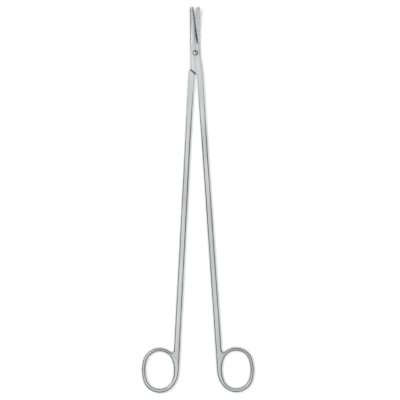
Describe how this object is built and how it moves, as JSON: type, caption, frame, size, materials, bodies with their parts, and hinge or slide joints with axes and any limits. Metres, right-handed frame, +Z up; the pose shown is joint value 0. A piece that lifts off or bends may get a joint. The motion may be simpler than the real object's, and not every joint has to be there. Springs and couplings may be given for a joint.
{
  "type": "surgical scissors",
  "caption": "Long slim steel operating scissors with blades curved on the flat, blunt tips, a lapped joint on a slotted screw and oval finger rings.",
  "frame": {"origin": "on the pivot screw's axis, in the plane of the flat back faces that the scissors rest on", "axes": "+Z up along the pivot screw towards its slotted head, the way the blades curve; +Y from the pivot towards the blade tips; +X towards the finger ring of the half that carries the screw head"},
  "size_m": [0.077, 0.2639, 0.0053],
  "materials": {
    "satin_steel": "satin",
    "screw_steel": "polished"
  },
  "bodies": {
    "screwed_half": {"back_half": "satin_steel", "pivot_screw": "screw_steel"},
    "turning_half": {"front_half": "satin_steel"}
  },
  "joints": [
    {"name": "pivot", "type": "hinge", "parent": "screwed_half", "child": "turning_half", "pos_m": [0, 0, 0], "axis": [0, 0, 1], "range_deg": [-6.8, 53.2]}
  ]
}
